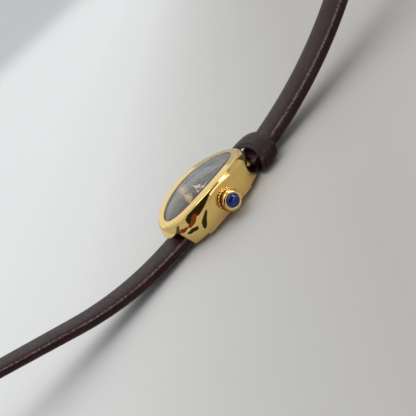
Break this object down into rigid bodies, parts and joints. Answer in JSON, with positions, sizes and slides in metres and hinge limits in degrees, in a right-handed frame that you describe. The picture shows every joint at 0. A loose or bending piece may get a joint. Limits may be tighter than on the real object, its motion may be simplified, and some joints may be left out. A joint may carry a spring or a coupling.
{
  "type": "wristwatch",
  "caption": "Oval dress watch: polished case curved from twelve to six over a slim leather strap, cabochon crown, two hands driven by a quartz movement, pin buckle.",
  "frame": {"origin": "centre of the flat on the case back, on which the watch rests", "axes": "+Z out of the dial, +Y to twelve o'clock along the strap, +X to the crown"},
  "size_m": [0.0219, 0.1961, 0.0286],
  "materials": {
    "polished_gold": "mirror-polished yellow gold plate",
    "case_back_gold": "satin yellow gold plate",
    "crystal_glass": "clear, polished",
    "clear_gasket": "translucent",
    "black_gasket": "matte",
    "blue_stone": "polished deep blue",
    "dial_grey": "dark grey sunburst",
    "hand_gold": "polished pale gold",
    "movement_steel": "fine ground",
    "movement_brass": "fine ground",
    "plate_nickel": "nickel plate",
    "white_plastic": "moulded",
    "battery_steel": "bright steel",
    "copper_winding": "enamelled wire",
    "board_green": "lacquered board",
    "strap_leather": "smooth calf, dark burgundy brown, waxed edges"
  },
  "bodies": {
    "case": {"case_band": "polished_gold", "bezel": "polished_gold", "crystal": "crystal_glass", "crystal_gasket": "clear_gasket", "case_back": "case_back_gold", "back_gasket": "black_gasket", "case_back_screws": "movement_steel", "spring_bars": "movement_steel", "dial": "dial_grey", "dial_washer": "movement_brass", "main_plate": "plate_nickel", "train_bridge": "plate_nickel", "bridge_screws": "movement_steel", "movement_ring": "white_plastic", "battery": "battery_steel", "battery_clamp": "movement_steel", "coil": "copper_winding", "coil_core": "movement_steel", "stator": "movement_steel", "circuit_board": "board_green", "quartz_can": "movement_steel", "crown_tube": "movement_steel"},
    "minutes": {"centre_wheel": "movement_brass", "cannon_pinion": "movement_steel", "minute_hand": "hand_gold"},
    "minute_gear": {"minute_wheel": "movement_brass"},
    "hours": {"hour_wheel": "movement_brass", "hour_hand": "hand_gold"},
    "third_gear": {"third_wheel": "movement_brass"},
    "intermediate_gear": {"intermediate_wheel": "movement_brass"},
    "rotor": {"rotor": "movement_steel"},
    "setting": {"setting_lever": "movement_steel"},
    "crown": {"crown": "polished_gold", "crown_cabochon": "blue_stone", "crown_gasket": "black_gasket", "stem": "movement_steel"},
    "upper_strap": {"upper_strap": "strap_leather", "fixed_keeper": "strap_leather", "buckle_bar": "movement_steel"},
    "lower_strap": {"lower_strap": "strap_leather"},
    "loose_keeper": {"loose_keeper": "strap_leather"},
    "buckle": {"buckle_frame": "polished_gold"},
    "tongue": {"buckle_tongue": "polished_gold"}
  },
  "joints": [
    {"name": "minute_hand_turn", "type": "hinge", "parent": "case", "child": "minutes", "pos_m": [0, 0, 0.0032], "axis": [0, 0, -1], "continuous": true},
    {"name": "minute_wheel_turn", "type": "hinge", "parent": "case", "child": "minute_gear", "pos_m": [-0.00197, -0.00138, 0.0032], "axis": [0, 0, -1], "continuous": true},
    {"name": "hour_hand_turn", "type": "hinge", "parent": "case", "child": "hours", "pos_m": [0, 0, 0.0032], "axis": [0, 0, -1], "continuous": true},
    {"name": "third_wheel_turn", "type": "hinge", "parent": "case", "child": "third_gear", "pos_m": [-0.00027, 0.00307, 0.0032], "axis": [0, 0, -1], "continuous": true},
    {"name": "intermediate_wheel_turn", "type": "hinge", "parent": "case", "child": "intermediate_gear", "pos_m": [0.00199, 0.00225, 0.0032], "axis": [0, 0, -1], "continuous": true},
    {"name": "rotor_turn", "type": "hinge", "parent": "case", "child": "rotor", "pos_m": [0.00337, 0.00145, 0.0032], "axis": [0, 0, -1], "continuous": true},
    {"name": "crown_pull", "type": "slide", "parent": "case", "child": "setting", "axis": [1, 0, 0], "range_m": [0, 0.0008]},
    {"name": "crown_turn", "type": "hinge", "parent": "setting", "child": "crown", "pos_m": [0.00962, 0, 0.00385], "axis": [1, 0, 0], "continuous": true},
    {"name": "upper_strap_swing", "type": "hinge", "parent": "case", "child": "upper_strap", "pos_m": [0, 0.0086, 0.00205], "axis": [1, 0, 0], "range_deg": [-75, 1]},
    {"name": "lower_strap_swing", "type": "hinge", "parent": "case", "child": "lower_strap", "pos_m": [0, -0.0086, 0.00205], "axis": [-1, 0, 0], "range_deg": [-75, 8]},
    {"name": "keeper_slide", "type": "slide", "parent": "upper_strap", "child": "loose_keeper", "axis": [0, 0.9969, 0.0785], "range_m": [0, 0.004]},
    {"name": "buckle_swing", "type": "hinge", "parent": "upper_strap", "child": "buckle", "pos_m": [0, 0.0775, 0.02053], "axis": [1, 0, 0], "range_deg": [-60, 25]},
    {"name": "tongue_swing", "type": "hinge", "parent": "buckle", "child": "tongue", "pos_m": [0, 0.0775, 0.02053], "axis": [1, 0, 0], "range_deg": [0, 90]}
  ],
  "couplings": [
    {"joint": "minute_wheel_turn", "follows": "minute_hand_turn", "ratio": -0.33333},
    {"joint": "hour_hand_turn", "follows": "minute_hand_turn", "ratio": 0.083333},
    {"joint": "third_wheel_turn", "follows": "minute_hand_turn", "ratio": -6},
    {"joint": "intermediate_wheel_turn", "follows": "minute_hand_turn", "ratio": 30},
    {"joint": "rotor_turn", "follows": "minute_hand_turn", "ratio": -90}
  ]
}
